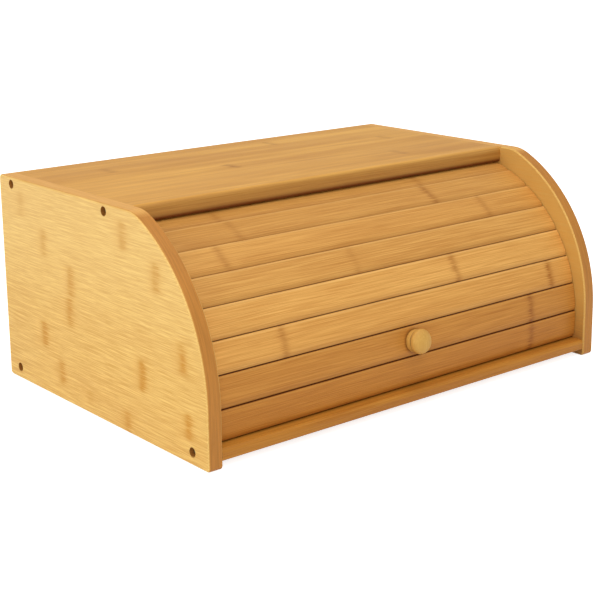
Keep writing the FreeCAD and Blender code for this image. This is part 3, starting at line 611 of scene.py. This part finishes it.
def upTheSlat(number, xyz):
    # -1 at a slat's lower edge, 1 at its upper edge
    turned = (xyz[2] - doorTrack["centreZ"]).maths("ARCTAN2", doorTrack["centreY"] - xyz[1])
    return (turned - slatAngle(number)) / math.radians(doorTrack["pitch"] / 2)


def slatSeams(look, number):
    # painted shade: the dark line where two slats meet, the softer shade over each slat's lower edge, and the
    # knob's shadow round its foot
    def paintedShade(xyz, facing):
        reach = upTheSlat(number, xyz)
        lower, upper = look["lines"][number - 1:number + 1]
        line = reach.ease(*look["line"]) * upper + (-1 * reach).ease(*look["line"]) * lower
        dark = line + (-1 * reach).ease(*look["shadeFade"]) * look["shade"]
        if number == knobLook["slat"]:
            halfSlat = doorTrack["radius"] * math.radians(doorTrack["pitch"] / 2)
            away = (xyz[0] ** 2 + (reach * halfSlat) ** 2).root()
            foot = knobRings[0][1]
            dark = dark + (1 - away.ease(foot, foot + knobLook["slatShade"])) * knobLook["slatDark"]
        return dark.clamped()
    return paintedShade


def slatHighlight(look, number):
    # a painted highlight along each slat's crisp upper edge
    def paleAndHighlight(xyz, facing):
        reach = upTheSlat(number, xyz)
        return reach.ease(*look["highlightFrom"]) * (1 - reach.ease(*look["highlightTo"])) * look["highlight"]
    return paleAndHighlight


def dressSlats(looks):
    for number, (light, red, joints) in enumerate(looks, start=1):
        # a slat is one strip, so its marks run right across it
        marks = [(along, 0, 1, strength) for along, strength in joints]
        cane = bamboo(f"bamboo slat {number}", 0, retoned(slatTone, light, red), marks=marks,
                      shift=(number * 1.7, number * 2.3, 0), paintedShade=slatSeams(seamLook, number),
                      paleAndHighlight=slatHighlight(seamLook, number))
        dress(f"slat_{number}", cane)


dressSlats(slatLooks)
print("slats are bamboo")


def faceOut(piece):
    bpy.ops.object.mode_set(mode="EDIT")
    bpy.ops.mesh.select_all(action="SELECT")
    bpy.ops.mesh.remove_doubles(threshold=0.000001)
    bpy.ops.mesh.normals_make_consistent(inside=False)
    bpy.ops.object.mode_set(mode="OBJECT")


def knobShade(xyz, facing):
    # painted shade in the groove behind the dome and round the foot
    look = knobLook
    reach = (xyz[1] - doorTrack["centreY"]) * knobOut.y + (xyz[2] - doorTrack["centreZ"]) * knobOut.z
    out = reach - doorTrack["radius"]
    groove = (out - look["groove"]).bell(look["grooveShade"])
    return (groove * look["grooveDark"] + (1 - out.ease(0.0, look["footShade"])) * look["footDark"]).clamped()


def turnKnob(look, rings):
    # a disc on the slat, extruded ring by ring and closed at the middle of the dome
    bpy.ops.object.select_all(action="DESELECT")
    foot = trackCentre + knobOut * doorTrack["radius"]
    bpy.ops.mesh.primitive_circle_add(vertices=look["sides"], radius=rings[0][1], fill_type="NGON",
                                      location=foot, rotation=(math.pi / 2 - knobAngle, 0, 0))
    turned = bpy.context.object
    turned.name = "turnedKnob"
    bpy.ops.object.mode_set(mode="EDIT")
    bpy.ops.mesh.select_all(action="SELECT")
    for (low, narrow), (high, wide) in zip(rings, rings[1:]):
        bpy.ops.mesh.extrude_region_move(TRANSFORM_OT_translate={"value": knobOut * (high - low)})
        bpy.ops.transform.resize(value=[wide / narrow] * 3, center_override=foot + knobOut * high)
    bpy.ops.mesh.merge(type="CENTER")
    faceOut(turned)
    bpy.ops.object.transform_apply(location=True, rotation=True, scale=True)
    smooth = turned.modifiers.new("smooth", "SUBSURF")
    smooth.levels = smooth.render_levels = 1
    bpy.ops.object.modifier_apply(modifier="smooth")
    bpy.ops.object.shade_smooth()
    tone = {**retoned(panelTone, *look["stain"]), **look["grain"]}
    turned.data.materials.append(bamboo("turned bamboo", 2, tone, shift=(4, 4, 4), paintedShade=knobShade))
    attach(turned, "roll_door")
    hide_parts("knob")


turnKnob(knobLook, knobRings)
print("the knob is turned")


screwLook = {
    "steel": (0.36, 0.33, 0.29),
    "tarnish": (0.20, 0.16, 0.12),
    "tarnishFade": (0.4, 0.8),
    "grain": 900,
    "roughness": 0.38,
    "roughWear": 0.25,
    "pitDepth": 0.00003,
}


def screwSteel(look):
    finish = Finish(bpy.data.materials.new("screw steel"))
    wear = finish.noise(finish.place(), (look["grain"],) * 3, detail=3.0)
    finish.surface(Base_Color=finish.mix(wear.ease(*look["tarnishFade"]), look["steel"], look["tarnish"]),
                   Metallic=1.0, Roughness=look["roughness"] + wear * look["roughWear"],
                   Normal=finish.bump(wear, look["pitDepth"], 0.6))
    return finish.owner


steel = screwSteel(screwLook)
for name in ("knob_screw", "left_case_screws", "right_case_screws"):
    dress(name, steel)
print("screws are steel")


clothLook = {
    "width": 0.340,
    "thick": 0.0008,
    "thread": 0.0011,
    "threadDepth": 0.0002,
    "near": 0.0001,             # how near the upper edge a corner has to be to be on it
    "slub": (420, 60, 60),      # the thread's uneven places, per metre each way
    "slubShare": 0.4,
    "light": (0.62, 0.52, 0.37),
    "shade": (0.34, 0.27, 0.18),
    "roughness": 0.85,
    "fuzz": 0.25,
}


def clothFinish(look):
    # plain weave that follows the curve of the door
    finish = Finish(bpy.data.materials.new("woven cloth"))
    place = finish.place()
    x, y, z = finish.parts(place)
    upDoor = (z - doorTrack["centreZ"]).maths("ARCTAN2", doorTrack["centreY"] - y) * doorTrack["radius"]
    warp = (x * (math.pi / look["thread"])).maths("SINE")
    weft = (upDoor * (math.pi / look["thread"])).maths("SINE")
    weave = (warp * weft + 1) * 0.5
    slub = finish.noise(place, look["slub"], detail=2.0)
    light = weave * (1 - look["slubShare"]) + slub * look["slubShare"]
    finish.surface(Base_Color=finish.mix(light, look["shade"], look["light"]),
                   Roughness=look["roughness"] + slub * 0.1,
                   Normal=finish.bump(weave + slub * 0.5, look["threadDepth"], 0.7),
                   Sheen_Weight=look["fuzz"])
    return finish.owner


def hangCloth(look):
    # one flat facet behind the lowest slat, then the rest by spinning its upper edge round the track
    bpy.ops.object.select_all(action="DESELECT")
    half = math.radians(doorTrack["pitch"] / 2)
    reach = doorTrack["radius"] - doorTrack["slatThick"] - look["thick"] / 2
    facet = 2 * reach * math.tan(half)
    angle = math.radians(doorTrack["foot"]) + half
    bpy.ops.mesh.primitive_plane_add(size=1, location=trackCentre + outOfTrack(angle) * reach,
                                     rotation=(math.pi / 2 - angle, 0, 0))
    cloth = bpy.context.object
    cloth.name = "clothBacking"
    cloth.scale = (look["width"], facet, 1)
    bpy.ops.object.transform_apply(location=True, rotation=True, scale=True)
    top = max(vertex.co.z for vertex in cloth.data.vertices)
    bpy.ops.object.mode_set(mode="EDIT")
    bpy.ops.mesh.select_mode(type="VERT")
    bpy.ops.mesh.select_all(action="DESELECT")
    bpy.ops.object.mode_set(mode="OBJECT")
    for vertex in cloth.data.vertices:
        vertex.select = vertex.co.z > top - look["near"]
    bpy.ops.object.mode_set(mode="EDIT")
    bpy.ops.mesh.spin(steps=doorTrack["slats"] - 1, angle=2 * half * (doorTrack["slats"] - 1),
                      center=trackCentre, axis=(1, 0, 0))
    faceOut(cloth)
    solid = cloth.modifiers.new("solid", "SOLIDIFY")
    solid.thickness = look["thick"]
    solid.offset = 0
    bpy.ops.object.modifier_apply(modifier="solid")
    cloth.data.materials.append(clothFinish(look))
    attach(cloth, "roll_door")
    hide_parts("backing_cloth")
    facet * doorTrack["slats"]


hangCloth(clothLook)
print("cloth is glued behind the slats")


stageLook = {
    "size": 12.0,
    "floor": 0.80,
    "lift": 0.80,               # the floor's own glow near the box, and 1 far from it
    "fade": (0.45, 1.3),
    "sky": 0.50,
}


def whiteFloor(look):
    # the floor shows white by its own glow, and keeps the box's soft shadow
    finish = Finish(bpy.data.materials.new("white floor"))
    seen = finish.node("ShaderNodeLightPath", output="Is Camera Ray")
    mirrored = finish.node("ShaderNodeLightPath", output="Is Glossy Ray")
    through = finish.node("ShaderNodeLightPath", output="Is Transmission Ray")
    x, y, z = finish.parts(finish.place())
    away = (x * x + y * y).root().ease(*look["fade"])
    glow = seen.orMore(mirrored).orMore(through) * (look["lift"] + away * (1 - look["lift"]))
    finish.surface(Base_Color=(look["floor"],) * 3 + (1,), Roughness=0.9, Specular_IOR_Level=0.0,
                   Emission_Color=finish.joined(glow, glow, glow), Emission_Strength=1.0)
    bpy.ops.mesh.primitive_plane_add(size=look["size"], location=(0, 0, 0))
    floor = bpy.context.object
    floor.name = "floor"
    floor.data.materials.append(finish.owner)


def whiteSky(look):
    # white where the camera sees it, and a dimmer even light on the box
    world = bpy.data.worlds.new("studio")
    bpy.context.scene.world = world
    finish = Finish(world)
    finish.tree.nodes.clear()
    plain = finish.node("ShaderNodeBackground", sockets={"Color": (1, 1, 1, 1), "Strength": look["sky"]})
    bright = finish.node("ShaderNodeBackground", sockets={"Color": (1, 1, 1, 1), "Strength": 1.0})
    seen = finish.node("ShaderNodeLightPath", output="Is Camera Ray")
    shown = finish.node("ShaderNodeMixShader", sockets={0: seen, 1: plain, 2: bright})
    finish.node("ShaderNodeOutputWorld", sockets={"Surface": shown})


whiteFloor(stageLook)
whiteSky(stageLook)
bpy.context.scene.view_settings.view_transform = "Standard"
print("floor and backdrop are set")
